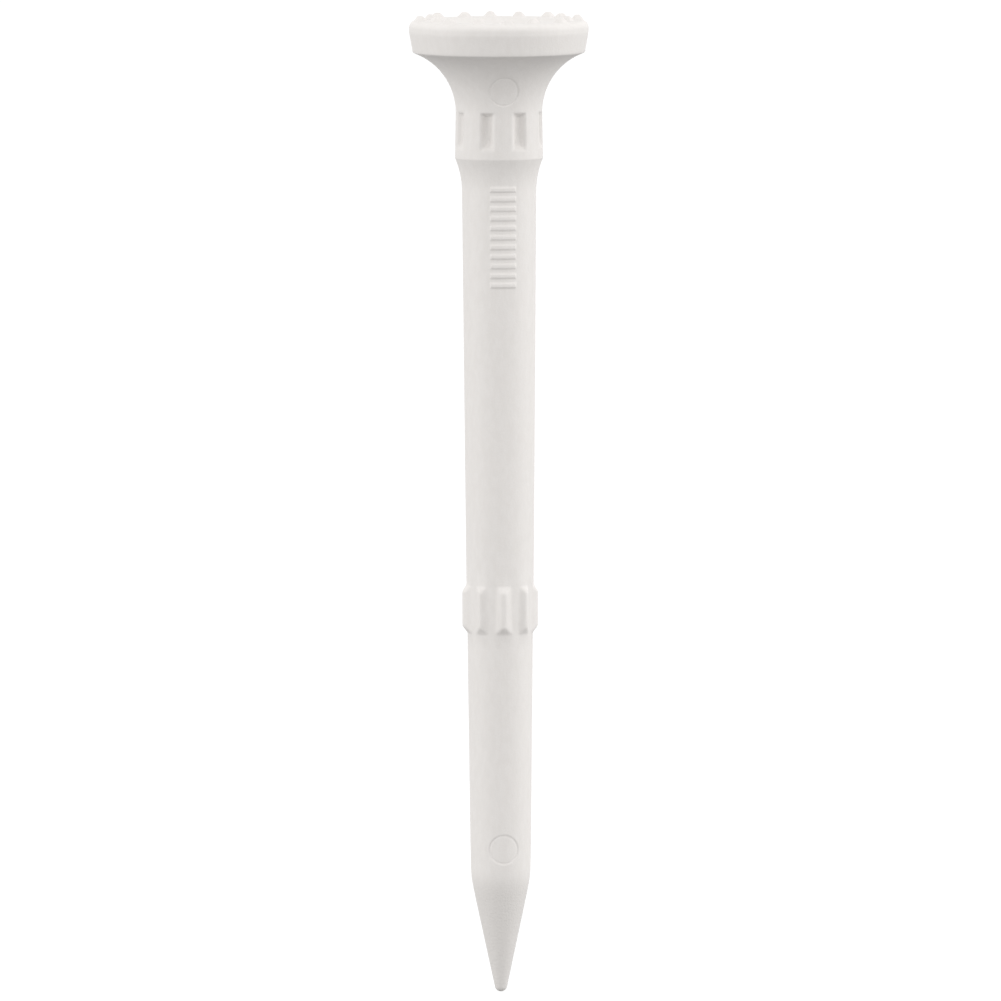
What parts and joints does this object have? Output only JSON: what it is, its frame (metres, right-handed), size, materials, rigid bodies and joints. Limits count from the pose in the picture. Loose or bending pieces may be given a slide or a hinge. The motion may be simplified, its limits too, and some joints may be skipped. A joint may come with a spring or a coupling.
{
  "type": "golf tee",
  "caption": "Long moulded golf tee: wide dished head ringed with small nubs, fluted neck, slim tapered shaft, ribbed depth ring and sharp point.",
  "frame": {"origin": "the tip of the point, on the tee's axis", "axes": "+Z along the axis, from the point up to the head; -Y towards the front of the tee, where its raised bars and ejector marks are; the parting line lies in the X-Z plane"},
  "size_m": [0.015, 0.015, 0.082],
  "materials": {
    "moulding": "off-white wood-fibre filled plastic, fine satin-matt grain as moulded"
  },
  "bodies": {
    "root": {"tee": "moulding"}
  },
  "joints": []
}
